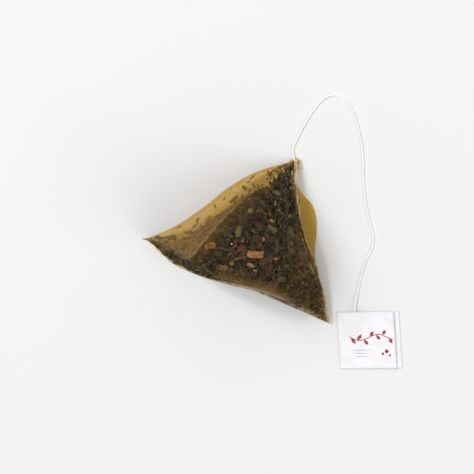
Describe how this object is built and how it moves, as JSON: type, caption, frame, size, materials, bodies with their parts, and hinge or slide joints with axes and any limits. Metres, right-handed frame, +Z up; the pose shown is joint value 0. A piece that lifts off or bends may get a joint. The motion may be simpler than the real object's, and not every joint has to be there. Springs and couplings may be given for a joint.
{
  "type": "tea bag",
  "caption": "Steeped pyramid tea bag of fine see-through mesh, filled with leaf tea, with a cotton thread and a square paper tag.",
  "frame": {"origin": "on the ground under the middle of the pouch's box", "axes": "+Z up, +X from the far tip towards the thread seal, +Y from the lower tip to the thread tip"},
  "size_m": [0.0802, 0.0895, 0.0497],
  "materials": {
    "mesh": "fine nylon mesh, wet and stained amber by the tea",
    "tea_leaf": "wet, near-black brown-green leaf crumbs",
    "green_leaf": "wet olive-green leaf",
    "peel": "wet orange-brown dried peel",
    "stem": "wet brown woody stalk",
    "petal": "wet dull red petal",
    "berry": "wet olive-green seed coat",
    "thread": "white twisted cotton",
    "tag_paper": "smooth matt white paper, folded once"
  },
  "bodies": {
    "root": {"mesh_pouch": "mesh", "leaf_bed": "tea_leaf", "peel_chip_1": "peel", "peel_chip_2": "peel", "peel_chip_3": "peel", "peel_chip_4": "peel", "peel_chip_5": "peel", "peel_chip_6": "peel", "green_leaf_1": "green_leaf", "green_leaf_2": "green_leaf", "green_leaf_3": "green_leaf", "green_leaf_4": "green_leaf", "green_leaf_5": "green_leaf", "green_leaf_6": "green_leaf", "green_leaf_7": "green_leaf", "green_leaf_8": "green_leaf", "green_leaf_9": "green_leaf", "dark_leaf_1": "tea_leaf", "dark_leaf_2": "tea_leaf", "dark_leaf_3": "tea_leaf", "dark_leaf_4": "tea_leaf", "dark_leaf_5": "tea_leaf", "dark_leaf_6": "tea_leaf", "dark_leaf_7": "tea_leaf", "dark_leaf_8": "tea_leaf", "dark_leaf_9": "tea_leaf", "dark_leaf_10": "tea_leaf", "dark_leaf_11": "tea_leaf", "petal_1": "petal", "petal_2": "petal", "petal_3": "petal", "petal_4": "petal", "petal_5": "petal", "stem_1": "stem", "stem_2": "stem", "stem_3": "stem", "stem_4": "stem", "stem_5": "stem", "berry_1": "berry", "berry_2": "berry", "berry_3": "berry", "berry_4": "berry", "thread": "thread", "tag": "tag_paper"}
  },
  "joints": []
}
